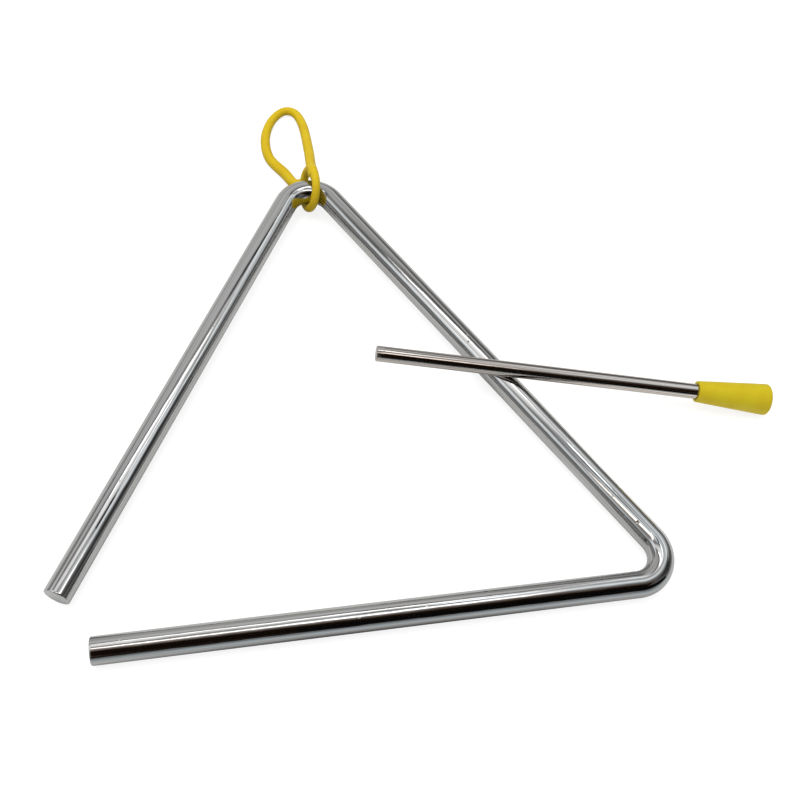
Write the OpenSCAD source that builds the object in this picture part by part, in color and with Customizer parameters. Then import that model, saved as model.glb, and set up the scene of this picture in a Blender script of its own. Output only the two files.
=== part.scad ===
// A triangle instrument put down on a table: a bent steel bar with one open
// corner, the moulded holder that hangs it from a finger, and the beater
// leaning on its right leg. Lengths are millimetres, +Z is up and the table
// is at z = 0. The bottom leg runs along X and the apex points along +Y.

/* [Bar] */
// Diameter of the round steel bar
bar_d = 8; // [7:0.1:9]
// Side of the triangle along the bar's centre line, from corner to corner
side = 192.4; // [175:0.1:215]
// Radius of the inside of the two bends
bend_inner_r = 5.3; // [5:0.1:9]
// How far the left leg stops short of the open corner
left_setback = 19.1; // [17:0.1:25]
// How far the bottom leg stops short of the open corner
bottom_setback = 18.6; // [17:0.1:25]
// Chamfer round the two sawn ends of the bar
bar_chamfer = 0.4; // [0.2:0.05:0.8]
// How much thinner the bar is drawn, in radius, where it is bent
bend_thinning = 0.02; // [0.02:0.01:0.1]

/* [Holder] */
// Thickness of the eye's strand
eye_strand_d = 2.9; // [2.6:0.05:3]
// Thickness of the finger loop's strand at its thinnest
strand_d = 3; // [2.8:0.05:3.2]
// Room between the bar and the eye round it, where both are square
eye_play = 1.4; // [1.35:0.05:1.7]
// How far the eye's centre lies to the right of the middle of the bend
eye_aside = 0.9; // [0.6:0.05:1]
// How far the eye's centre lies outside the middle of the bend
eye_pull = 0.85; // [0.6:0.05:0.95]
// How far the bar hangs below the eye's centre
eye_rise = 0.73; // [0.6:0.01:0.8]
// Turn of the eye about the upright, in degrees
eye_turn = 5; // [2:0.5:7]
// Lean of the eye from square on the bar, in degrees
eye_lean = 14.2; // [12:0.1:15]
// Length of the finger loop, from the eye's centre to its far end
loop_length = 44.9; // [40:0.1:60]
// Width of the finger loop between the middles of its strands
loop_width = 14.8; // [12:0.1:17]

/* [Beater] */
// Diameter of the beater's steel rod
rod_d = 5; // [4:0.1:6]
// Chamfer round the rod's tip
rod_chamfer = 0.3; // [0.1:0.05:0.6]
// Length of the whole beater
beater_length = 131; // [115:0.1:150]
// Length of the grip
grip_length = 24.9; // [21:0.1:32]
// Diameter of the grip at its mouth
grip_mouth_d = 7; // [6.4:0.1:8]
// Diameter of the grip at its wide end
grip_end_d = 10.3; // [9:0.1:13]
// Height of the crown on the grip's wide end
grip_crown = 1.4; // [0.8:0.1:3]
// Rounding of the grip's mouth
grip_mouth_round = 0.35; // [0.1:0.05:0.5]
// Length of solid plastic behind the end of the rod
grip_solid_end = 7; // [5:0.1:9]
// How much tighter the bore is than the rod
grip_bite = 0.05; // [0.02:0.01:0.1]

/* [Resting pose] */
// Distance from the apex corner, along the right leg, to where the rod crosses it
crossing_from_apex = 107.5; // [90:0.5:125]
// Distance from the rod's tip to the crossing
crossing_from_tip = 42.5; // [35:0.5:60]
// Heading of the beater from +X, in degrees
beater_heading = -10.7; // [-20:0.1:0]
// Gap between the rod and the leg that it leans on
rest_gap = 0.05; // [0.02:0.01:0.3]

/* [Hidden] */

// Facets round a curve, for the exact shapes and for the finger loop's tube
ROUND = 96;
LOOP_SIDES = 12;
// Rings of the tube between two points of the finger loop's route
LOOP_STEPS = 5;
// Points along the crown of the grip, and passes that settle the beater's pitch
CROWN_STEPS = 10;
SETTLE_PASSES = 8;
// How far each straight stretch of bar runs on into a bend
run_on = 0.05;
// The three corners are alike
corner = 60;

// Bar
bar_r = bar_d / 2;
bend_r = bend_inner_r + bar_r;
bend_run = bend_r / tan(corner / 2);
apex_corner_y = side * sin(corner);
apex_mid_y = apex_corner_y - bend_r;

// Eye of the holder: its lowest point is on the table, and the bar lies in it
eye_strand_r = eye_strand_d / 2;
eye_r = bar_r + eye_strand_r + eye_play;
eye_z = eye_strand_r + eye_r * cos(eye_lean);
tilt = asin((eye_z - eye_rise - bar_r) / apex_mid_y);
eye_centre = [side / 2 + eye_aside, apex_mid_y * cos(tilt) + eye_pull, eye_z];
eye_facing = [0, 90 + eye_lean, eye_turn];

// Directions in the eye's own plane, from which its angles are counted
eye_down = [-sin(eye_lean) * cos(eye_turn), -sin(eye_lean) * sin(eye_turn), -cos(eye_lean)];
eye_out = [-sin(eye_turn), cos(eye_turn), 0];
function eye_point(angle, radius) =
    eye_centre + radius * (cos(angle) * eye_down + sin(angle) * eye_out);

// Finger loop's route from the eye's top round to its back: across as a share
// of the loop's width, along as a share of its length, up as a share of the
// height of the eye's centre over a strand that lies on the table, and the
// strand's thickness as a share of the thinnest
LOOP_ROUTE_SHARES = [
    [0.10, 0.21, 1.31, 1.20],
    [0.13, 0.435, 0.79, 1.20],
    [0.11, 0.77, 0.33, 1.15],
    [-0.03, 0.96, 0.08, 1.05],
    [-0.32, 1.00, 0, 1.00],
    [-0.66, 0.885, 0, 1.06],
    [-0.86, 0.69, 0, 1.14],
    [-0.82, 0.475, 0, 1.20],
    [-0.50, 0.295, 0.02, 1.28],
    [-0.31, 0.16, 0.22, 1.18]
];
// The finger loop grows out of a ball at each end: the ball's angle round the
// eye, how far it lies inside or outside the eye's middle line, and its radius
FORK_ANGLE = 166;
FORK_INSIDE = 0.6;
FORK_BALL_R = 1.9;
JOIN_ANGLE = 58;
JOIN_OUTSIDE = 0.3;
JOIN_BALL_R = 1.75;
// How thick the strand is where it goes into the second ball, as a share of it
JOIN_SHARE = 0.97;
strand_r = strand_d / 2;
fork = eye_point(FORK_ANGLE, eye_r - FORK_INSIDE);
join = eye_point(JOIN_ANGLE, eye_r + JOIN_OUTSIDE);
// Each stop of the route is a place and the strand's radius there
function loop_stop(share) =
    let (r = share[3] * strand_r)
    [eye_centre.x + share.x * loop_width, eye_centre.y + share.y * loop_length,
        r + share.z * (eye_z - r), r];
loop_route = [
    [each fork, LOOP_ROUTE_SHARES[0][3] * strand_r],
    for (share = LOOP_ROUTE_SHARES) loop_stop(share),
    [each join, JOIN_SHARE * JOIN_BALL_R]
];

// Smooth curve through a route's stops
function route_at(i) = loop_route[max(0, min(i, len(loop_route) - 1))];
function curve(a, b, c, d, t) =
    b + (c - a) * t / 2
    + (2 * a - 5 * b + 4 * c - d) * pow(t, 2) / 2
    + (3 * b - a - 3 * c + d) * pow(t, 3) / 2;
loop_stops = [
    for (i = [0:len(loop_route) - 2], s = [0:LOOP_STEPS - 1])
        curve(route_at(i - 1), route_at(i), route_at(i + 1), route_at(i + 2), s / LOOP_STEPS),
    route_at(len(loop_route) - 1)
];
loop_line = [for (stop = loop_stops) [stop[0], stop[1], stop[2]]];
loop_radii = [for (stop = loop_stops) stop[3]];

// Beater: it touches the leg from above and its grip's rim is on the table
rod_r = rod_d / 2;
grip_mouth_r = grip_mouth_d / 2;
grip_end_r = grip_end_d / 2;
grip_bore_depth = grip_length - grip_solid_end;
mouth_from_tip = beater_length - grip_length;
rod_length = mouth_from_tip + grip_bore_depth;
rim_from_tip = beater_length - grip_crown;
leg_heading = -corner;
leg_along = [cos(leg_heading), sin(leg_heading) * cos(tilt), sin(leg_heading) * sin(tilt)];
apex_corner = [side / 2, apex_corner_y * cos(tilt), bar_r + apex_corner_y * sin(tilt)];
leg_crossing = apex_corner + crossing_from_apex * leg_along;

function unit(v) = v / norm(v);
function beater_along(pitch) =
    [cos(pitch) * cos(beater_heading), cos(pitch) * sin(beater_heading), -sin(pitch)];
function rod_crossing(pitch) =
    leg_crossing + (bar_r + rod_r + rest_gap) * unit(cross(leg_along, beater_along(pitch)));
function settled_pitch(pitch, passes) = passes == 0
    ? pitch
    : settled_pitch(
        asin((rod_crossing(pitch).z - grip_end_r * cos(pitch)) / (rim_from_tip - crossing_from_tip)),
        passes - 1);
beater_pitch = settled_pitch(0, SETTLE_PASSES);
beater_tip = rod_crossing(beater_pitch) - crossing_from_tip * beater_along(beater_pitch);
beater_end = beater_tip + beater_length * beater_along(beater_pitch);

// Middle of the floor that the whole part covers, which is the origin
left_edge = left_setback * cos(corner) - bar_r * sin(corner);
right_edge = beater_end.x;
near_edge = -bar_r;
far_edge = max([for (i = [0:len(loop_line) - 1]) loop_line[i].y + loop_radii[i]]);
middle = [(left_edge + right_edge) / 2, (near_edge + far_edge) / 2, 0];

// Straight round bar that stands along +Z, chamfered at its foot
module sawn_bar(length, r, chamfer) {
    rotate_extrude($fn = ROUND)
        polygon([[0, 0], [r - chamfer, 0], [r, chamfer], [r, length], [0, length]]);
}

// Bend between two legs, with its middle along +Y from the centre it turns about
module bar_bend() {
    rotate([0, 0, corner / 2])
        rotate_extrude(angle = 180 - corner, $fn = ROUND)
            translate([bend_r, 0])
                circle(r = bar_r - bend_thinning, $fn = ROUND);
}

module triangle_bar() {
    color("silver")
        translate([0, 0, bar_r])
            rotate([tilt, 0, 0]) {
                // Left leg
                translate([left_setback * cos(corner), left_setback * sin(corner), 0])
                    rotate([0, 90, corner])
                        sawn_bar(side - left_setback - bend_run + run_on, bar_r, bar_chamfer);
                // Apex
                translate([side / 2, apex_corner_y - 2 * bend_r, 0])
                    bar_bend();
                // Right leg
                translate([side / 2, apex_corner_y, 0])
                    rotate([0, 90, leg_heading])
                        translate([0, 0, bend_run - run_on])
                            cylinder(h = side - 2 * (bend_run - run_on), r = bar_r, $fn = ROUND);
                // Right corner
                translate([side - bend_run, bend_r, 0])
                    rotate([0, 0, leg_heading * 2])
                        bar_bend();
                // Bottom leg
                translate([bottom_setback, 0, 0])
                    rotate([0, 90, 0])
                        sawn_bar(side - bottom_setback - bend_run + run_on, bar_r, bar_chamfer);
            }
}

// Eye: a round ring of strand about the bar
module holder_eye() {
    translate(eye_centre)
        rotate(eye_facing)
            rotate_extrude($fn = ROUND)
                translate([eye_r, 0])
                    circle(r = eye_strand_r, $fn = ROUND / 2);
}

// Tube along a line of points, with its radius at each
module tube(line, radii, sides) {
    last = len(line) - 1;
    rings = [
        for (i = [0:last])
            let (
                along = unit(line[min(i + 1, last)] - line[max(i - 1, 0)]),
                across = unit(cross([0, 0, 1], along)),
                up = cross(along, across)
            )
            [for (k = [0:sides - 1])
                line[i] + radii[i] * (cos(360 * k / sides) * across + sin(360 * k / sides) * up)]
    ];
    points = [for (ring = rings) each ring];
    walls = [
        for (i = [0:last - 1], k = [0:sides - 1])
            let (a = i * sides + k, b = i * sides + (k + 1) % sides)
            each [[a, a + sides, b], [b, a + sides, b + sides]]
    ];
    first_cap = [for (k = [0:sides - 1]) k];
    last_cap = [for (k = [0:sides - 1]) last * sides + sides - 1 - k];
    polyhedron(points, concat(walls, [first_cap, last_cap]));
}

module holder_loop() {
    color("gold") {
        holder_eye();
        tube(loop_line, loop_radii, LOOP_SIDES);
        translate(fork)
            sphere(r = FORK_BALL_R, $fn = ROUND);
        translate(join)
            sphere(r = JOIN_BALL_R, $fn = ROUND);
    }
}

// Puts what stands along +Z on the beater's line, so far from its tip
module on_beater(from_tip) {
    translate(beater_tip + from_tip * beater_along(beater_pitch))
        rotate([0, 90 + beater_pitch, beater_heading])
            children();
}

module beater_rod() {
    color("silver")
        on_beater(0)
            sawn_bar(rod_length, rod_r, rod_chamfer);
}

// Half outline of the grip, from the middle of its mouth to the top of its crown
function grip_outline() = [
    [0, 0],
    [grip_mouth_r - grip_mouth_round, 0],
    [grip_mouth_r, grip_mouth_round],
    for (k = [0:CROWN_STEPS])
        let (turn = 90 * k / CROWN_STEPS)
        [grip_end_r * pow(max(cos(turn), 0), 2 / 3),
            grip_length - grip_crown + grip_crown * pow(sin(turn), 2 / 3)]
];

module beater_grip() {
    color("gold")
        on_beater(mouth_from_tip)
            difference() {
                rotate_extrude($fn = ROUND)
                    polygon(grip_outline());
                translate([0, 0, -grip_bore_depth])
                    cylinder(h = 2 * grip_bore_depth, r = rod_r - grip_bite / 2, $fn = ROUND);
            }
}

translate(-middle) triangle_bar();
translate(-middle) holder_loop();
translate(-middle) beater_rod();
translate(-middle) beater_grip();
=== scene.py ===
import math

import bpy
import numpy as np
from mathutils import Matrix, Vector


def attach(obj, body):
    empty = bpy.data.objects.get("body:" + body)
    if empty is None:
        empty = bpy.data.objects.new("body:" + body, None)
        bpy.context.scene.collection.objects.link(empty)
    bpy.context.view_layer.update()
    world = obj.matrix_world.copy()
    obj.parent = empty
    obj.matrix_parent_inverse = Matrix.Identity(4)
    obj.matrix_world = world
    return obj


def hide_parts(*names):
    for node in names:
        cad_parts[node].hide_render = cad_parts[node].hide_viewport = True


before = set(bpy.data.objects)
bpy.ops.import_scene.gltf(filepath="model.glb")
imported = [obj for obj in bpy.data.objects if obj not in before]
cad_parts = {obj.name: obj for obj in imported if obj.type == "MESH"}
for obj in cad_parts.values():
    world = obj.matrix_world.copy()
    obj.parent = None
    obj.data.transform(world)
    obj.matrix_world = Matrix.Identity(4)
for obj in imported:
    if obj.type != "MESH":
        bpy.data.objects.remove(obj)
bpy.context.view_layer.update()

MM = 0.001

# Sizes of the object in millimetres, as the solids have them, apart from the worn
# edges, the web at the holder's fork and the bite of the grip

# Bar: the side is from corner to corner on the centre lines, and each sawn end
# is set back from the open corner
BAR_R = 4.0
SIDE = 192.4
BEND_R = 9.3
LEFT_SETBACK = 19.1
BOTTOM_SETBACK = 18.6
BAR_CHAMFER = 0.4
# Profile of a worn sawn end, as shares of the chamfer and of the bar's radius: the
# rings of the cut itself, then the worn chamfer, then the bar
BAR_END_PROFILE = [
    (0.0, 0.35), (0.0, 0.75), (0.0, 0.9), (0.03, 0.925), (0.5, 0.985), (1.0, 1.0), (1.4, 1.0)]
BAR_CUT_RINGS = 3
# Each bend's arc in the triangle's own plane, in degrees
APEX_BEND_ARC = (150, 30)
RIGHT_BEND_ARC = (30, -90)

# Holder's eye: its strand and its ring, where the ring's centre is from the middle
# of the bend (to the right, outwards and up), its turn and its lean
EYE_STRAND_R = 1.45
EYE_R = 6.85
EYE_ASIDE = 0.9
EYE_PULL = 0.85
EYE_RISE = 0.73
EYE_TURN = math.radians(5)
EYE_LEAN = math.radians(14.2)
# Finger loop: its strand at the thinnest, its length and its width
STRAND_R = 1.5
LOOP_LENGTH = 44.9
LOOP_WIDTH = 14.8
# The loop's two roots: angle round the eye, how far inside or outside the ring's
# middle, and radius of the ball that rounds each
FORK_ANGLE = math.radians(166)
FORK_INSIDE = 0.6
FORK_BALL_R = 1.9
JOIN_ANGLE = math.radians(58)
JOIN_OUTSIDE = 0.3
JOIN_BALL_R = 1.75
# Balls that fill the web below the fork and in its crotch: angle round the eye,
# how far outside the ring's middle, and radius
WEB_BALLS = [
    (132, 0.3, 1.6),
    (141, 0.3, 1.6),
    (150, 0.3, 1.6),
    (158, 0.3, 1.6),
    (148, -1.6, 1.35),
    (160, -1.5, 1.35),
    (171, -1.4, 1.3),
    (182, -1.2, 1.3),
]

# Beater
ROD_R = 2.5
ROD_CHAMFER = 0.3
# Profile of the rod's tip: rings of the cut, as shares of its radius, and then
# shares of its radius and distances along it, round the worn edge
ROD_CUT_SHARES = (0.35, 0.75, 0.86)
ROD_EDGE_PROFILE = [(0.885, 0.01), (0.97, 0.15), (1.0, ROD_CHAMFER)]
BEATER_LENGTH = 131.0
GRIP_LENGTH = 24.9
GRIP_MOUTH_R = 3.5
GRIP_END_R = 5.15
GRIP_CROWN = 1.4
GRIP_MOUTH_ROUND = 0.35
# The bore stops this far from the grip's end, and is this much tighter than the rod
GRIP_SOLID_END = 7.0
GRIP_BITE = 0.02
# The worn edge of the bore at the mouth: more radius, and distance from the mouth
GRIP_BORE_EDGE = [(0.0, 0.25), (0.12, 0.05)]
# The crown's outline is between an ellipse and a box, and ends in a small flat middle
CROWN_POWER = 2 / 3
CROWN_MIDDLE_SHARE = 0.004
# Where the beater crosses the right leg, how it points, and how far it is off the leg
CROSSING_FROM_APEX = 107.5
CROSSING_FROM_TIP = 42.5
BEATER_HEADING = math.radians(-10.7)
REST_GAP = 0.05

# Camera, fitted to the photograph
CAMERA_AT = Vector((-0.06175, -0.20592, 0.30138))
CAMERA_AZIMUTH = math.radians(17.64)
CAMERA_ELEVATION = math.radians(58.14)
CAMERA_ROLL = math.radians(9.96)
CAMERA_LENS = 49.31
CAMERA_CLIP = (0.01, 50)
SENSOR_WIDTH = 36.0

# The legs meet at three equal corners
CORNER = math.radians(60)
BEND_RUN = BEND_R / math.tan(CORNER / 2)
APEX_CORNER_Y = SIDE * math.sin(CORNER)
APEX_MID_Y = APEX_CORNER_Y - BEND_R
EYE_Z = EYE_STRAND_R + EYE_R * math.cos(EYE_LEAN)
TILT = math.asin((EYE_Z - EYE_RISE - BAR_R) / APEX_MID_Y)


def unit(v):
    return np.asarray(v, float) / np.linalg.norm(v)


# Holder's eye, in the corner's frame: origin at the open corner, on the table
eye_centre = np.array([SIDE / 2 + EYE_ASIDE, APEX_MID_Y * math.cos(TILT) + EYE_PULL, EYE_Z])
eye_down = -np.array([
    math.sin(EYE_LEAN) * math.cos(EYE_TURN),
    math.sin(EYE_LEAN) * math.sin(EYE_TURN),
    math.cos(EYE_LEAN),
])
eye_out = np.array([-math.sin(EYE_TURN), math.cos(EYE_TURN), 0.0])

# Finger loop's route, as shares of its width, its length, the eye's height over
# the strand, and the strand's thinnest radius
LOOP_ROUTE_SHARES = [
    (0.10, 0.21, 1.31, 1.20),
    (0.13, 0.435, 0.79, 1.20),
    (0.11, 0.77, 0.33, 1.15),
    (-0.03, 0.96, 0.08, 1.05),
    (-0.32, 1.00, 0.0, 1.00),
    (-0.66, 0.885, 0.0, 1.06),
    (-0.86, 0.69, 0.0, 1.14),
    (-0.82, 0.475, 0.0, 1.20),
    (-0.50, 0.295, 0.02, 1.28),
    (-0.31, 0.16, 0.22, 1.18),
]
# Steps of the finger loop's line between two stops
LOOP_STEPS = 16


def eye_point(angle, radius):
    """A place round the eye, turned from its lowest point."""
    return eye_centre + radius * (math.cos(angle) * eye_down + math.sin(angle) * eye_out)


fork = eye_point(FORK_ANGLE, EYE_R - FORK_INSIDE)
join = eye_point(JOIN_ANGLE, EYE_R + JOIN_OUTSIDE)


def loop_stop(share):
    """A place on the finger loop, and the strand's radius there."""
    across, along, up, thick = share
    radius = thick * STRAND_R
    x = eye_centre[0] + across * LOOP_WIDTH
    y = eye_centre[1] + along * LOOP_LENGTH
    return np.array([x, y, radius + up * (EYE_Z - radius), radius])


def curve_through(route, steps):
    """A smooth line through every stop of a route."""
    line = []
    last = len(route) - 1
    for i in range(last):
        a, b = route[max(i - 1, 0)], route[i]
        c, d = route[i + 1], route[min(i + 2, last)]
        for k in range(steps):
            t = k / steps
            line.append(
                b + (c - a) * t / 2
                + (2 * a - 5 * b + 4 * c - d) * t ** 2 / 2
                + (3 * b - a - 3 * c + d) * t ** 3 / 2)
    line.append(route[-1])
    return line


loop_route = [np.append(fork, LOOP_ROUTE_SHARES[0][3] * STRAND_R)]
loop_route += [loop_stop(share) for share in LOOP_ROUTE_SHARES]
loop_route.append(np.append(join, JOIN_BALL_R))
loop_stops = curve_through(loop_route, LOOP_STEPS)

# Beater's line: it touches the right leg from above and its grip's rim is on the table
leg_along = np.array([
    math.cos(CORNER),
    -math.sin(CORNER) * math.cos(TILT),
    -math.sin(CORNER) * math.sin(TILT),
])
apex_corner = np.array([
    SIDE / 2, APEX_CORNER_Y * math.cos(TILT), BAR_R + APEX_CORNER_Y * math.sin(TILT)])
leg_crossing = apex_corner + CROSSING_FROM_APEX * leg_along
PITCH_ROUNDS = 8


def beater_along(pitch):
    return np.array([
        math.cos(pitch) * math.cos(BEATER_HEADING),
        math.cos(pitch) * math.sin(BEATER_HEADING),
        -math.sin(pitch),
    ])


def rod_crossing(pitch):
    """The rod's middle where it lies on the leg."""
    return leg_crossing + (BAR_R + ROD_R + REST_GAP) * unit(np.cross(leg_along, beater_along(pitch)))


def settled_pitch():
    """The beater's pitch, found in rounds, because its crossing depends on it too."""
    pitch = 0.0
    reach = BEATER_LENGTH - GRIP_CROWN - CROSSING_FROM_TIP
    for _ in range(PITCH_ROUNDS):
        pitch = math.asin((rod_crossing(pitch)[2] - GRIP_END_R * math.cos(pitch)) / reach)
    return pitch


pitch = settled_pitch()
beater_dir = beater_along(pitch)
beater_tip = rod_crossing(pitch) - CROSSING_FROM_TIP * beater_dir
beater_end = beater_tip + BEATER_LENGTH * beater_dir

# The frame's origin is the middle of the floor that the part covers
middle = np.array([
    (LEFT_SETBACK * math.cos(CORNER) - BAR_R * math.sin(CORNER) + beater_end[0]) / 2,
    (-BAR_R + max(stop[1] + stop[3] for stop in loop_stops)) / 2,
    0.0,
])


def to_frame(points):
    """Millimetres from the open corner to metres in the frame."""
    return (np.asarray(points, float) - middle) * MM


# Mesh helpers

# How finely the pieces are made: sides round them and steps along them
BAR_SIDES = 96
LEG_STEPS = 60
BEND_STEPS = 49
BEATER_SIDES = 80
ROD_STEPS = 50
MOUTH_STEPS = 6
CONE_STEPS = 28
CROWN_STEPS = 22
EYE_STEPS = 120
STRAND_SIDES = 32
# Each ball's last rings are this far round towards its poles, in degrees
BALL_POLE = 80
# The melted holder: size of its cells in millimetres, and how it is smoothed
HOLDER_VOXEL = 0.28
HOLDER_SMOOTHING = {"iterations": 16, "lambda_factor": 0.8}
# Edges steeper than this stay sharp
SHARP_FROM = math.radians(30)


def new_mesh(name, points, faces, place=None):
    """A mesh object with smooth faces, and each point's place on its bar if given."""
    mesh = bpy.data.meshes.new(name)
    mesh.from_pydata([tuple(p) for p in points], [], faces)
    mesh.update()
    mesh.shade_smooth()
    mesh.set_sharp_from_angle(angle=SHARP_FROM)
    if place is not None:
        stored = mesh.attributes.new("place", "FLOAT_VECTOR", "POINT")
        stored.data.foreach_set("vector", np.asarray(place, np.float32).ravel())
    piece = bpy.data.objects.new(name, mesh)
    bpy.context.scene.collection.objects.link(piece)
    return piece


def skin_rings(rings, start_rings=1, end_rings=1):
    """Joins rings of points to a closed skin, with a middle point at each end.

    The rings turn anticlockwise as seen from ahead, so that the skin faces outwards.
    Returns points, faces, and for each face whether it belongs to an end cut.
    """
    sides = len(rings[0])
    points = [p for ring in rings for p in ring]
    faces = []
    is_cut = []
    for i in range(len(rings) - 1):
        for k in range(sides):
            a = i * sides + k
            b = i * sides + (k + 1) % sides
            faces.append((a, b, b + sides, a + sides))
            is_cut.append(i < start_rings or i >= len(rings) - 1 - end_rings)
    for ring, flip in ((0, True), (len(rings) - 1, False)):
        centre = len(points)
        points.append(np.mean(rings[ring], axis=0))
        for k in range(sides):
            a = ring * sides + k
            b = ring * sides + (k + 1) % sides
            faces.append((b, a, centre) if flip else (a, b, centre))
            is_cut.append(True)
    return points, faces, is_cut


def arc_points(centre, radius, start, end, count):
    """Places and outward directions along an arc in the plan, between two angles in degrees."""
    rows = []
    for angle in np.linspace(math.radians(start), math.radians(end), count):
        out = np.array([math.cos(angle), math.sin(angle)])
        rows.append((centre + radius * out, out))
    return rows


def straight_points(start, end, out, count):
    return [(start + (end - start) * t, out) for t in np.linspace(0, 1, count)]


def bar_line():
    """The bar's centre line in the triangle's own plane: places and outward directions."""
    left_dir = np.array([math.cos(CORNER), math.sin(CORNER)])
    right_dir = np.array([math.cos(CORNER), -math.sin(CORNER)])
    bottom_dir = np.array([-1.0, 0.0])
    apex = np.array([SIDE / 2, APEX_CORNER_Y])
    right = np.array([SIDE, 0.0])
    left_out = np.array([-left_dir[1], left_dir[0]])
    right_out = np.array([-right_dir[1], right_dir[0]])
    bottom_out = np.array([0.0, -1.0])
    rows = straight_points(LEFT_SETBACK * left_dir, apex - BEND_RUN * left_dir, left_out, LEG_STEPS)
    rows += arc_points(apex - np.array([0, 2 * BEND_R]), BEND_R, *APEX_BEND_ARC, BEND_STEPS)[1:]
    rows += straight_points(
        apex + BEND_RUN * right_dir, right - BEND_RUN * right_dir, right_out, LEG_STEPS)[1:]
    rows += arc_points(right + np.array([-BEND_RUN, BEND_R]), BEND_R, *RIGHT_BEND_ARC, BEND_STEPS)[1:]
    rows += straight_points(
        right + BEND_RUN * bottom_dir, np.array([BOTTOM_SETBACK, 0.0]), bottom_out, LEG_STEPS)[1:]
    return rows


def direction_space(plan):
    """A direction in the triangle's own plane, in the corner's frame."""
    x, y = plan
    return np.array([x, y * math.cos(TILT), y * math.sin(TILT)])


def bar_space(plan):
    """A place in the triangle's own plane, in the corner's frame."""
    return direction_space(plan) + np.array([0.0, 0.0, BAR_R])


def make_bar():
    """The bent bar, whose sawn ends have the second material."""
    rows = bar_line()
    places = [np.array(p) for p, _ in rows]
    steps = [0.0] + [float(np.linalg.norm(b - a)) for a, b in zip(places, places[1:])]
    along = np.cumsum(steps)
    up = np.array([0.0, -math.sin(TILT), math.cos(TILT)])
    turns = np.linspace(0, 2 * math.pi, BAR_SIDES, endpoint=False)
    rings = []
    stored = []

    def add_ring(centre, out, radius, distance):
        out = direction_space(out)
        rings.append(to_frame([
            centre + radius * (math.cos(a) * out + math.sin(a) * up) for a in turns]))
        for a in turns:
            stored.append((radius * math.cos(a) * MM, radius * math.sin(a) * MM, distance * MM))

    total = along[-1]
    first_dir = unit(bar_space(places[1]) - bar_space(places[0]))
    last_dir = unit(bar_space(places[-1]) - bar_space(places[-2]))
    for depth_share, radius_share in BAR_END_PROFILE:
        depth = depth_share * BAR_CHAMFER
        add_ring(bar_space(places[0]) + depth * first_dir, rows[0][1], radius_share * BAR_R, depth)
    for (place, out), distance in list(zip(rows, along))[1:-1]:
        add_ring(bar_space(place), out, BAR_R, distance)
    for depth_share, radius_share in reversed(BAR_END_PROFILE):
        depth = depth_share * BAR_CHAMFER
        centre = bar_space(places[-1]) - depth * last_dir
        add_ring(centre, rows[-1][1], radius_share * BAR_R, total - depth)
    points, faces, is_cut = skin_rings(rings, BAR_CUT_RINGS, BAR_CUT_RINGS)
    stored.append((0.0, 0.0, 0.0))
    stored.append((0.0, 0.0, total * MM))
    piece = new_mesh("bar_polished", points, faces, stored)
    piece.data.polygons.foreach_set("material_index", [int(c) for c in is_cut])
    return piece


def lathe(name, outline, start, direction, cut_rings=0):
    """Turns a half outline of (radius, distance) about a line from start."""
    across = unit(np.cross(direction, (0, 0, 1)))
    over = np.cross(direction, across)
    turns = np.linspace(0, 2 * math.pi, BEATER_SIDES, endpoint=False)
    rings = []
    stored = []
    for radius, distance in outline:
        rings.append(to_frame([
            start + distance * direction + radius * (math.cos(a) * across + math.sin(a) * over)
            for a in turns]))
        for a in turns:
            stored.append((radius * math.cos(a) * MM, radius * math.sin(a) * MM, distance * MM))
    points, faces, is_cut = skin_rings(rings, cut_rings, 0)
    stored.append((0.0, 0.0, outline[0][1] * MM))
    stored.append((0.0, 0.0, outline[-1][1] * MM))
    piece = new_mesh(name, points, faces, stored)
    piece.data.polygons.foreach_set("material_index", [int(c) for c in is_cut])
    return piece


def make_rod():
    outline = [(ROD_R * share, 0.0) for share in ROD_CUT_SHARES]
    outline += [(ROD_R * share, distance) for share, distance in ROD_EDGE_PROFILE]
    length = BEATER_LENGTH - GRIP_SOLID_END
    outline += [(ROD_R, distance) for distance in np.linspace(ROD_CHAMFER, length, ROD_STEPS)[1:]]
    return lathe("beater_rod_polished", outline, beater_tip, beater_dir, len(ROD_CUT_SHARES))


def make_grip():
    mouth = BEATER_LENGTH - GRIP_LENGTH
    bore_r = ROD_R - GRIP_BITE
    outline = [(bore_r, GRIP_LENGTH - GRIP_SOLID_END)]
    outline += [(bore_r + more, distance) for more, distance in GRIP_BORE_EDGE]
    outline += [(GRIP_MOUTH_R - GRIP_MOUTH_ROUND, 0.0)]
    for turn in np.linspace(0, 90, MOUTH_STEPS)[1:]:
        a = math.radians(turn)
        outline.append((
            GRIP_MOUTH_R - GRIP_MOUTH_ROUND * (1 - math.sin(a)),
            GRIP_MOUTH_ROUND * (1 - math.cos(a))))
    shoulder = GRIP_LENGTH - GRIP_CROWN
    for t in np.linspace(0, 1, CONE_STEPS)[1:]:
        outline.append((
            GRIP_MOUTH_R + (GRIP_END_R - GRIP_MOUTH_R) * t,
            GRIP_MOUTH_ROUND + (shoulder - GRIP_MOUTH_ROUND) * t))
    for turn in np.linspace(0, 90, CROWN_STEPS)[1:]:
        a = math.radians(turn)
        outline.append((
            GRIP_END_R * max(math.cos(a), CROWN_MIDDLE_SHARE) ** CROWN_POWER,
            shoulder + GRIP_CROWN * math.sin(a) ** CROWN_POWER))
    return lathe("beater_grip_moulding", outline, beater_tip + mouth * beater_dir, beater_dir)


def loop_rings():
    """Rings of strand along the finger loop."""
    last = len(loop_stops) - 1
    turns = np.linspace(0, 2 * math.pi, STRAND_SIDES, endpoint=False)
    rings = []
    for i, stop in enumerate(loop_stops):
        along = unit(loop_stops[min(i + 1, last)][:3] - loop_stops[max(i - 1, 0)][:3])
        across = unit(np.cross((0, 0, 1), along))
        over = np.cross(along, across)
        rings.append([stop[:3] + stop[3] * (math.cos(a) * across + math.sin(a) * over) for a in turns])
    return rings


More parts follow.
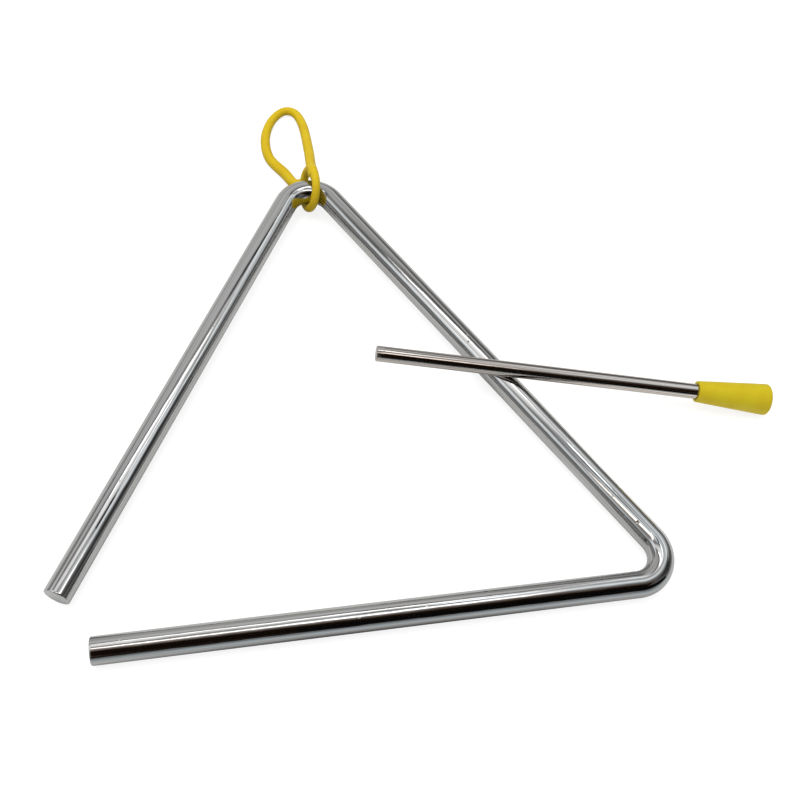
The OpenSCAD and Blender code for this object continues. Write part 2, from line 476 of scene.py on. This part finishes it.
def eye_mesh():
    """The eye as a ring of strand, as points and faces."""
    facing = np.cross(eye_down, eye_out)
    rings = []
    for angle in np.linspace(0, 2 * math.pi, EYE_STEPS, endpoint=False):
        out = math.cos(angle) * eye_down + math.sin(angle) * eye_out
        rings.append(to_frame([
            eye_centre + (EYE_R + EYE_STRAND_R * math.cos(a)) * out + EYE_STRAND_R * math.sin(a) * facing
            for a in np.linspace(0, 2 * math.pi, STRAND_SIDES, endpoint=False)]))
    points = [p for ring in rings for p in ring]
    faces = []
    for i in range(EYE_STEPS):
        j = (i + 1) % EYE_STEPS
        for k in range(STRAND_SIDES):
            m = (k + 1) % STRAND_SIDES
            here, ahead = i * STRAND_SIDES, j * STRAND_SIDES
            faces.append((here + k, ahead + k, ahead + m, here + m))
    return points, faces


def apply_modifier(piece, kind, **settings):
    modifier = piece.modifiers.new(kind.lower(), kind)
    for key, value in settings.items():
        setattr(modifier, key, value)
    with bpy.context.temp_override(object=piece, active_object=piece, selected_objects=[piece]):
        bpy.ops.object.modifier_apply(modifier=modifier.name)


def ball_mesh(centre, radius):
    """A ball of rings, as points and faces."""
    rings = []
    for lift in np.linspace(-BALL_POLE, BALL_POLE, STRAND_SIDES // 2):
        a = math.radians(lift)
        ring = [
            centre + radius * np.array([math.cos(a) * math.cos(b), math.cos(a) * math.sin(b), math.sin(a)])
            for b in np.linspace(0, 2 * math.pi, STRAND_SIDES, endpoint=False)]
        rings.append(to_frame(ring))
    points, faces, _ = skin_rings(rings)
    return points, faces


def make_holder():
    """Eye, finger loop, its two rounded roots and the web at the fork, melted to one moulding."""
    loop_points, loop_faces, _ = skin_rings([to_frame(ring) for ring in loop_rings()])
    parts = [
        eye_mesh(), (loop_points, loop_faces),
        ball_mesh(fork, FORK_BALL_R), ball_mesh(join, JOIN_BALL_R)]
    for degrees, outside, radius in WEB_BALLS:
        parts.append(ball_mesh(eye_point(math.radians(degrees), EYE_R + outside), radius))
    points = []
    faces = []
    for part_points, part_faces in parts:
        shift = len(points)
        points += list(part_points)
        faces += [tuple(i + shift for i in face) for face in part_faces]
    piece = new_mesh("holder_moulding", points, faces)
    apply_modifier(piece, "REMESH", mode="VOXEL", voxel_size=HOLDER_VOXEL * MM, use_smooth_shade=True)
    apply_modifier(piece, "LAPLACIANSMOOTH", **HOLDER_SMOOTHING, use_volume_preserve=True)
    piece.data.shade_smooth()
    return piece


# Materials: every depth is in millimetres, and a span says between which values of
# a pattern something comes in

WHITE = (1, 1, 1, 1)

# Patterns of the plating, in features a metre: twice across the bar, and along it
DRAW_LINES = (9000, 9000, 22)
STREAKS_ALONG = 6
RIPPLES = (700, 700, 260)
WAVES = (300, 300, 60)
PIT_CELLS = (420, 420, 190)
HAZE_PATCHES = (160, 160, 40)
LINE_DEPTH = 0.0005
RIPPLE_DEPTH = 0.016
PIT_DEPTH = 0.02
PIT_SPAN = (0.04, 0.09)
STREAK_SPAN = (0.40, 0.60)
DIRT_SPAN = (0.50, 0.38)
DIRT_COLOUR = (0.16, 0.13, 0.11, 1)
# Hazy patches are this much rougher
HAZE_SPAN = (0.3, 0.8)
HAZE_ROUGHER = 1.8
# Two nicks of the right leg: out from the bar's line, up, along the bar, and size, in mm
NICKS = [(-1.24, 3.80, 251.6, 0.45), (-1.63, 3.65, 331.1, 0.6)]
NICK_DEPTH = 0.08
NICK_CORE_SHARE = 0.3

BAR_PLATING = {
    "colours": ((0.57, 0.575, 0.58, 1), (0.53, 0.525, 0.515, 1)),
    "streaks_a_metre": 1300,
    "streak_depth": 0.0025,
    "dirt": 0.30,
    "wave_depth": 0.070,
    "roughness": 0.04,
    "nicks": NICKS,
}
ROD_PLATING = {
    "colours": ((0.60, 0.565, 0.54, 1), (0.52, 0.48, 0.45, 1)),
    "streaks_a_metre": 1600,
    "streak_depth": 0.0090,
    "dirt": 0.80,
    "wave_depth": 0.030,
    "roughness": 0.05,
    "nicks": (),
}

# The sawn faces, in features a metre
SAW_LINES = (5000, 300, 300)
SAW_GRAINS = (2500, 2500, 2500)
SAW_DEPTH = 0.004
SAW_SPAN = (0.3, 0.7)
SAWN_COLOURS = ((0.66, 0.67, 0.66, 1), (0.56, 0.57, 0.56, 1))
SAWN_ROUGHNESS = (0.38, 0.5)

# The moulded plastic, in features a metre
CLOUD_SCALE = 160
CLOUD_SPAN = (0.35, 0.7)
SKIN_SCALE = 5200
SKIN_DEPTH = 0.003
DENT_SCALE = 900
DENT_DEPTH = 0.012
MATT_SPAN = (0.3, 0.7)
MATT_MORE = 0.12
PLASTIC_SPECULAR = 0.3
PLASTIC_GLOW_SHARE = 0.15
PLASTIC_GLOW_RADII = (1.0, 0.7, 0.15)
PLASTIC_GLOW_DEPTH = 0.6
# Two yellows and the roughness of each moulding
HOLDER_YELLOW = ((0.525, 0.375, 0.002, 1), (0.485, 0.33, 0.002, 1), 0.5)
GRIP_YELLOW = ((0.475, 0.38, 0.003, 1), (0.45, 0.335, 0.002, 1), 0.55)


def new_material(name):
    material = bpy.data.materials.new(name)
    material.use_nodes = True
    tree = material.node_tree
    shader = tree.nodes["Principled BSDF"]
    return material, tree, shader


def add_node(tree, kind, inputs=None, **settings):
    """Adds a node, sets its settings, and fills or links its inputs by name or number."""
    node = tree.nodes.new(kind)
    for key, value in settings.items():
        setattr(node, key, value)
    for key, value in (inputs or {}).items():
        if isinstance(value, bpy.types.NodeSocket):
            tree.links.new(value, node.inputs[key])
        else:
            node.inputs[key].default_value = value
    return node


def noise(tree, vector, scale=1.0, detail=2.0, roughness=0.5):
    node = add_node(tree, "ShaderNodeTexNoise", {
        "Vector": vector, "Scale": scale, "Detail": detail, "Roughness": roughness})
    return node.outputs["Fac"]


def bump(tree, height, distance, normal=None):
    """Relief of this depth, on top of the relief that a normal already has."""
    inputs = {"Height": height, "Distance": distance, "Strength": 1.0}
    if normal is not None:
        inputs["Normal"] = normal
    return add_node(tree, "ShaderNodeBump", inputs).outputs["Normal"]


def spread(tree, value, low, high, to_low=0.0, to_high=1.0):
    """Maps a span of a value to another span, and stops at its ends."""
    node = add_node(tree, "ShaderNodeMapRange", {
        "Value": value, "From Min": low, "From Max": high, "To Min": to_low, "To Max": to_high})
    return node.outputs["Result"]


def mix_colours(tree, amount, a, b):
    """Mixes two colours, each a value or a socket."""
    return add_node(tree, "ShaderNodeMix", {0: amount, 6: a, 7: b}, data_type="RGBA").outputs[2]


def maths(tree, operation, *values):
    return add_node(tree, "ShaderNodeMath", dict(enumerate(values)), operation=operation).outputs[0]


def vector_maths(tree, operation, *values, output="Vector"):
    node = add_node(tree, "ShaderNodeVectorMath", dict(enumerate(values)), operation=operation)
    return node.outputs[output]


def place_on_bar(tree, scales):
    """The stored place, scaled to features a metre across and along the bar."""
    place = add_node(tree, "ShaderNodeAttribute", attribute_name="place").outputs["Vector"]
    return vector_maths(tree, "MULTIPLY", place, scales)


def plated_steel(name, colours, streaks_a_metre, streak_depth, dirt, wave_depth, roughness, nicks):
    """Bright plated bar: draw lines along it, slight waves, pits, nicks, dirt and hazy patches."""
    material, tree, shader = new_material(name)
    lines = noise(tree, place_on_bar(tree, DRAW_LINES), detail=1.0)
    drawn = noise(tree, place_on_bar(tree, (streaks_a_metre, streaks_a_metre, STREAKS_ALONG)), detail=1.0)
    streaks = spread(tree, drawn, *STREAK_SPAN)
    ripples = noise(tree, place_on_bar(tree, RIPPLES), detail=2.0)
    waves = noise(tree, place_on_bar(tree, WAVES), detail=2.0)
    cells = add_node(tree, "ShaderNodeTexVoronoi", {
        "Vector": place_on_bar(tree, PIT_CELLS), "Scale": 1.0}, feature="F1")
    pits = spread(tree, cells.outputs["Distance"], *PIT_SPAN, -1.0, 0.0)
    normal = bump(tree, waves, wave_depth * MM)
    normal = bump(tree, ripples, RIPPLE_DEPTH * MM, normal)
    normal = bump(tree, streaks, streak_depth * MM, normal)
    normal = bump(tree, lines, LINE_DEPTH * MM, normal)
    normal = bump(tree, pits, PIT_DEPTH * MM, normal)
    place = place_on_bar(tree, (1, 1, 1))
    nicked = 0.0
    for out, up, along, size in nicks:
        away = vector_maths(tree, "DISTANCE", place, (out * MM, up * MM, along * MM), output="Value")
        core = NICK_CORE_SHARE * size
        nicked = maths(tree, "ADD", nicked, spread(tree, away, size * MM, core * MM))
    if nicks:
        normal = bump(tree, nicked, -NICK_DEPTH * MM, normal)
    haze = noise(tree, place_on_bar(tree, HAZE_PATCHES), detail=3.0)
    clean = mix_colours(tree, haze, *colours)
    stain = maths(tree, "MAXIMUM", spread(tree, drawn, *DIRT_SPAN, 0.0, dirt), nicked)
    tint = mix_colours(tree, stain, clean, DIRT_COLOUR)
    tree.links.new(tint, shader.inputs["Base Color"])
    tree.links.new(normal, shader.inputs["Normal"])
    rough = spread(tree, haze, *HAZE_SPAN, roughness, roughness * HAZE_ROUGHER)
    tree.links.new(rough, shader.inputs["Roughness"])
    shader.inputs["Metallic"].default_value = 1.0
    return material


def sawn_steel():
    """The cut ends: satin grey, with fine lines of the saw."""
    material, tree, shader = new_material("sawn_steel")
    lines = noise(tree, place_on_bar(tree, SAW_LINES), detail=2.0)
    grains = noise(tree, place_on_bar(tree, SAW_GRAINS), detail=2.0)
    normal = bump(tree, lines, SAW_DEPTH * MM)
    normal = bump(tree, grains, SAW_DEPTH * MM, normal)
    tint = mix_colours(tree, grains, *SAWN_COLOURS)
    tree.links.new(tint, shader.inputs["Base Color"])
    tree.links.new(normal, shader.inputs["Normal"])
    tree.links.new(spread(tree, lines, *SAW_SPAN, *SAWN_ROUGHNESS), shader.inputs["Roughness"])
    shader.inputs["Metallic"].default_value = 1.0
    return material


def moulded_yellow(name, colour, shade, roughness):
    """Moulded plastic: slightly uneven colour, fine pebbled skin, half matt."""
    material, tree, shader = new_material(name)
    where = add_node(tree, "ShaderNodeTexCoord").outputs["Object"]
    clouds = noise(tree, where, scale=CLOUD_SCALE, detail=3.0)
    skin = noise(tree, where, scale=SKIN_SCALE, detail=2.0)
    dents = noise(tree, where, scale=DENT_SCALE, detail=2.0)
    tint = mix_colours(tree, spread(tree, clouds, *CLOUD_SPAN), colour, shade)
    normal = bump(tree, dents, DENT_DEPTH * MM)
    normal = bump(tree, skin, SKIN_DEPTH * MM, normal)
    tree.links.new(tint, shader.inputs["Base Color"])
    tree.links.new(normal, shader.inputs["Normal"])
    rough = spread(tree, clouds, *MATT_SPAN, roughness, roughness + MATT_MORE)
    tree.links.new(rough, shader.inputs["Roughness"])
    shader.inputs["Specular IOR Level"].default_value = PLASTIC_SPECULAR
    shader.inputs["Subsurface Weight"].default_value = PLASTIC_GLOW_SHARE
    shader.inputs["Subsurface Radius"].default_value = PLASTIC_GLOW_RADII
    shader.inputs["Subsurface Scale"].default_value = PLASTIC_GLOW_DEPTH * MM
    return material


# The object

sawn = sawn_steel()

bar = make_bar()
bar.data.materials.append(plated_steel("bar_plating", **BAR_PLATING))
bar.data.materials.append(sawn)
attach(bar, "triangle")
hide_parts("triangle_bar")

holder = make_holder()
holder.data.materials.append(moulded_yellow("holder_yellow", *HOLDER_YELLOW))
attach(holder, "holder")
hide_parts("holder_loop")

rod = make_rod()
rod.data.materials.append(plated_steel("rod_plating", **ROD_PLATING))
rod.data.materials.append(sawn)
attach(rod, "beater")
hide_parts("beater_rod")

grip = make_grip()
grip.data.materials.append(moulded_yellow("grip_yellow", *GRIP_YELLOW))
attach(grip, "beater")
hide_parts("beater_grip")

# Studio: white paper, even light, and a ceiling of soft panels that only shiny things mirror

# The floor, in metres: its colour as things mirror it, and painted shade, darker and bluer, on its near
# side
FLOOR_HALF = 3.0
FLOOR_SQUARES = 12
FLOOR_COLOUR = (0.52, 0.52, 0.51, 1)
FLOOR_NEAR_SHADE_COLOUR = (0.30, 0.365, 0.40, 1)
FLOOR_NEAR_SHADE_SPAN = (-0.16, -0.10)
# Shade on the floor along the bottom leg: centre, half sizes, turn and soft edge
LEG_SHADE = ((-0.02, -0.102), (0.095, 0.012), 0, 0.8)
LEG_SHADE_SHARE = 0.72
# The floor beside the grip is lit more, the same way
LIT_FLOOR = ((0.095, -0.050), (0.060, 0.032), -11, 0.5)
LIT_FLOOR_MORE = 0.9
# What the camera sees of the floor: its grey, and the glow that makes it white
FLOOR_SEEN_LEVEL = 0.26
FLOOR_SEEN_GLOW = 0.80

# Light from all round, the ceiling's own level and its least, and one large lamp
SKY_LOW_LEVEL = 0.5
SKY_HIGH_LEVEL = 1.05
CEILING_HEIGHT = 0.35
CEILING_HALF = 0.9
CEILING_LEVEL = 0.17
CEILING_LOWEST = 0.05
LAMP_AT = Vector((-0.25, 0.25, 1.2))
LAMP_SIZE = 1.0
LAMP_POWER = 12.0

WARM = (1.05, 0.93, 0.84)
PLAIN = (1.0, 1.0, 1.0)
COOL = (0.92, 0.97, 1.0)

# Panels on the ceiling: centre and half sizes in metres, turn in degrees, how
# much of the half sizes is soft edge, how bright (below zero for shade), and tint
PANELS = {
    "window_over_beater": ((0.12, -0.055), (0.12, 0.38), 107, 0.90, 1.05, COOL),
    "window_right": ((0.28, 0.115), (0.065, 0.16), 39, 0.35, 0.9, COOL),
    "wall_behind": ((-0.145, 0.55), (0.45, 0.50), -85, 0.35, 0.52, PLAIN),
    "wall_left": ((-0.44, -0.025), (0.36, 0.25), -54, 0.67, 0.85, COOL),
    "wall_right": ((0.46, 0.175), (0.18, 0.27), 57, 0.70, 0.60, COOL),
    "lamp_overhead": ((-0.055, 0.06), (0.37, 0.09), 14, 0.80, 1.2, PLAIN),
    "tube_far": ((-0.025, 0.108), (0.145, 0.021), 0, 0.30, 2.2, PLAIN),
    "tube_near": ((-0.02, -0.108), (0.17, 0.024), 4, 0.30, 2.3, WARM),
    "tube_left": ((-0.33, -0.04), (0.17, 0.04), -46, 0.60, 0.6, COOL),
    "lamp_small": ((0.09, 0.03), (0.055, 0.025), 33, 0.50, 1.8, COOL),
    "shade_near": ((0.045, -0.018), (0.06, 0.020), -25, 0.60, -0.9, PLAIN),
    "shade_far": ((0.09, 0.200), (0.12, 0.035), 0, 0.60, -0.35, PLAIN),
    "shade_east": ((0.60, -0.14), (0.30, 0.16), 0, 0.50, -0.13, PLAIN),
}
# The dark side that the camera stands on: centre, half sizes, turn and soft edge,
# its share, and the warm tint of its soft edge
DARK_SIDE = ((0.05, -0.565), (0.34, 0.42), 0, 0.36)
DARK_SHARE = 0.97
DARK_EDGE_TINT = (1.7, 0.95, 0.55, 1)

# A dark card that stands at the near side, between the table and the dark side
CARD_AT_Y = -0.133
CARD_SIDES = (-0.045, 0.15)
CARD_SPAN = (0.015, 0.04)
CARD_LEVEL = 0.004

# Walls that only shiny things mirror, below the ceiling: their level, how much
# more the far wall has, the direction of its middle in the plan, and how far round
# it reaches, as cosines of the angle from there
WALL_LEVEL = 0.28
FAR_WALL_MORE = 0.34
FAR_WALL_FACING = (-0.2, 0.98, 0.0)
FAR_WALL_SPAN = (0.72, 0.98)
# A darker wall at the right, the same way, from this height up, as sines of the
# angle over the horizon
SIDE_WALL_FACING = (0.99, -0.14, 0.0)
SIDE_WALL_SPAN = (0.85, 0.97)
SIDE_WALL_FROM = (0.17, 0.30)
SIDE_WALL_SHARE = 0.75
# A dark wall at the near side, opposite the far wall, and its height the same way
DARK_WALL_SPAN = (-0.6, -0.8)
DARK_WALL_FROM = (0.16, 0.24)


def grey(level):
    return (level, level, level)


def light_path(tree, kind):
    """1 where a ray is of this kind."""
    return add_node(tree, "ShaderNodeLightPath").outputs[kind]


def make_sheet(name, half, squares, height):
    axis = np.linspace(-half, half, squares + 1)
    points = [(x, y, height) for y in axis for x in axis]
    row = squares + 1
    faces = [
        (j * row + i, j * row + i + 1, (j + 1) * row + i + 1, (j + 1) * row + i)
        for j in range(squares) for i in range(squares)]
    return new_mesh(name, points, faces)


def soft_panel(tree, where, centre, half, turn, edge):
    """1 on a rectangle of the ceiling, falling off to 0 over its soft edge."""
    inside = add_node(tree, "ShaderNodeMapping", {
        "Vector": where,
        "Location": (*centre, 0.0),
        "Rotation": (0.0, 0.0, math.radians(turn)),
        "Scale": (*half, 1.0)}, vector_type="TEXTURE").outputs[0]
    parts = add_node(tree, "ShaderNodeSeparateXYZ", {0: inside})
    shares = [
        add_node(tree, "ShaderNodeMapRange", {
            "Value": maths(tree, "ABSOLUTE", parts.outputs[axis]),
            "From Min": 1.0, "From Max": 1.0 - edge}, interpolation_type="SMOOTHSTEP").outputs["Result"]
        for axis in ("X", "Y")]
    return maths(tree, "MULTIPLY", *shares)


def make_floor():
    """White paper to the camera, and darker paper to what mirrors it."""
    floor = make_sheet("floor", FLOOR_HALF, FLOOR_SQUARES, 0.0)
    material, tree, shader = new_material("floor_paper")
    seen = light_path(tree, "Is Camera Ray")
    where = add_node(tree, "ShaderNodeTexCoord").outputs["Object"]
    along = add_node(tree, "ShaderNodeSeparateXYZ", {0: where}).outputs["Y"]
    # Painted shade: what mirrors see of the floor turns darker and bluer towards the near side
    unseen = mix_colours(tree, spread(tree, along, *FLOOR_NEAR_SHADE_SPAN), FLOOR_NEAR_SHADE_COLOUR, FLOOR_COLOUR)
    shade = maths(tree, "MULTIPLY_ADD", soft_panel(tree, where, *LEG_SHADE), -LEG_SHADE_SHARE, 1.0)
    unseen = vector_maths(tree, "MULTIPLY", unseen, shade)
    lit = maths(tree, "MULTIPLY_ADD", soft_panel(tree, where, *LIT_FLOOR), LIT_FLOOR_MORE, 1.0)
    unseen = vector_maths(tree, "MULTIPLY", unseen, lit)
    colour = mix_colours(tree, seen, unseen, (*grey(FLOOR_SEEN_LEVEL), 1))
    tree.links.new(colour, shader.inputs["Base Color"])
    shader.inputs["Roughness"].default_value = 1.0
    shader.inputs["Specular IOR Level"].default_value = 0.0
    shader.inputs["Emission Color"].default_value = WHITE
    tree.links.new(maths(tree, "MULTIPLY", seen, FLOOR_SEEN_GLOW), shader.inputs["Emission Strength"])
    material.cycles.emission_sampling = "NONE"
    floor.data.materials.append(material)


def shining_material(name):
    """A material with no nodes yet, for what shines by itself and isn't a lamp."""
    material = bpy.data.materials.new(name)
    material.use_nodes = True
    material.node_tree.nodes.clear()
    material.cycles.emission_sampling = "NONE"
    return material, material.node_tree


def shine(tree, colour):
    glow = add_node(tree, "ShaderNodeEmission", {"Color": colour})
    add_node(tree, "ShaderNodeOutputMaterial", {"Surface": glow.outputs[0]})


def only_mirrored(piece):
    """Shows a piece of the studio to reflections alone."""
    piece.visible_camera = False
    piece.visible_diffuse = False
    piece.visible_transmission = False
    piece.visible_volume_scatter = False
    piece.visible_shadow = False


def make_ceiling():
    """Soft panels, and the dark side, which only shiny things mirror."""
    ceiling = make_sheet("ceiling", CEILING_HALF, 1, CEILING_HEIGHT)
    material, tree = shining_material("ceiling_panels")
    where = add_node(tree, "ShaderNodeTexCoord").outputs["Object"]
    total = grey(CEILING_LEVEL)
    for centre, half, turn, edge, level, tint in PANELS.values():
        share = soft_panel(tree, where, centre, half, turn, edge)
        colour = tuple(level * part for part in tint)
        total = vector_maths(tree, "MULTIPLY_ADD", share, colour, total)
    total = vector_maths(tree, "MAXIMUM", total, grey(CEILING_LOWEST))
    dark = soft_panel(tree, where, *DARK_SIDE)
    left = maths(tree, "MULTIPLY_ADD", dark, -DARK_SHARE, 1.0)
    edge_tint = mix_colours(tree, left, DARK_EDGE_TINT, WHITE)
    shine(tree, vector_maths(tree, "MULTIPLY", total, vector_maths(tree, "MULTIPLY", edge_tint, left)))
    ceiling.data.materials.append(material)
    only_mirrored(ceiling)


def make_card():
    """A black card that only shiny things mirror."""
    points = [(x, CARD_AT_Y, z) for z in CARD_SPAN for x in CARD_SIDES]
    card = new_mesh("card", points, [(0, 1, 3, 2)])
    material, tree = shining_material("card_black")
    shine(tree, (*grey(CARD_LEVEL), 1))
    card.data.materials.append(material)
    only_mirrored(card)


def wall_level(tree, direction, height):
    """What metal mirrors below the ceiling: lighter far, darker at the right, dark near the camera."""
    flat = vector_maths(tree, "NORMALIZE", vector_maths(tree, "MULTIPLY", direction, (1, 1, 0)))
    facing = vector_maths(tree, "DOT_PRODUCT", flat, FAR_WALL_FACING, output="Value")
    far = spread(tree, facing, *FAR_WALL_SPAN)
    level = maths(tree, "MULTIPLY_ADD", far, FAR_WALL_MORE, WALL_LEVEL)
    sideways = vector_maths(tree, "DOT_PRODUCT", flat, SIDE_WALL_FACING, output="Value")
    walls = (
        (sideways, SIDE_WALL_SPAN, SIDE_WALL_FROM, SIDE_WALL_SHARE),
        (facing, DARK_WALL_SPAN, DARK_WALL_FROM, DARK_SHARE))
    for turned, span, start, share in walls:
        wall = maths(tree, "MULTIPLY", spread(tree, turned, *span), spread(tree, height, *start))
        level = maths(tree, "MULTIPLY", level, maths(tree, "MULTIPLY_ADD", wall, -share, 1.0))
    return level


def make_world():
    """White where the camera looks, walls where metal does, and an even light from above."""
    world = bpy.data.worlds.new("studio")
    bpy.context.scene.world = world
    world.use_nodes = True
    tree = world.node_tree
    direction = add_node(tree, "ShaderNodeTexCoord").outputs["Generated"]
    height = add_node(tree, "ShaderNodeSeparateXYZ", {0: direction}).outputs["Z"]
    light = spread(tree, height, 0.0, 1.0, SKY_LOW_LEVEL, SKY_HIGH_LEVEL)
    shiny = light_path(tree, "Is Glossy Ray")
    walls = wall_level(tree, direction, height)
    level = add_node(tree, "ShaderNodeMix", {0: shiny, 2: light, 3: walls}).outputs[0]
    seen = maths(tree, "MAXIMUM", light_path(tree, "Is Camera Ray"), level)
    background = tree.nodes["Background"]
    background.inputs["Color"].default_value = WHITE
    tree.links.new(seen, background.inputs["Strength"])


def make_lamp():
    """One large soft lamp that no shiny thing mirrors."""
    lamp = bpy.data.lights.new("overhead", "AREA")
    lamp.shape = "SQUARE"
    lamp.size = LAMP_SIZE
    lamp.energy = LAMP_POWER
    lamp_object = bpy.data.objects.new("overhead", lamp)
    lamp_object.location = LAMP_AT
    lamp_object.rotation_euler = LAMP_AT.to_track_quat("Z", "Y").to_euler()
    bpy.context.scene.collection.objects.link(lamp_object)
    lamp_object.visible_glossy = False
    lamp_object.visible_camera = False


def make_camera():
    data = bpy.data.cameras.new("camera")
    data.lens = CAMERA_LENS
    data.sensor_width = SENSOR_WIDTH
    data.clip_start, data.clip_end = CAMERA_CLIP
    camera = bpy.data.objects.new("camera", data)
    az, el = CAMERA_AZIMUTH, CAMERA_ELEVATION
    forward = Vector((math.sin(az) * math.cos(el), math.cos(az) * math.cos(el), -math.sin(el)))
    level = Vector((math.cos(az), -math.sin(az), 0.0))
    steep = level.cross(forward)
    right = math.cos(CAMERA_ROLL) * level + math.sin(CAMERA_ROLL) * steep
    up = right.cross(forward)
    turn = Matrix((right, up, -forward)).transposed()
    camera.matrix_world = Matrix.Translation(CAMERA_AT) @ turn.to_4x4()
    bpy.context.scene.collection.objects.link(camera)
    bpy.context.scene.camera = camera


make_floor()
make_ceiling()
make_card()
make_world()
make_lamp()
make_camera()
bpy.context.scene.view_settings.view_transform = "Standard"
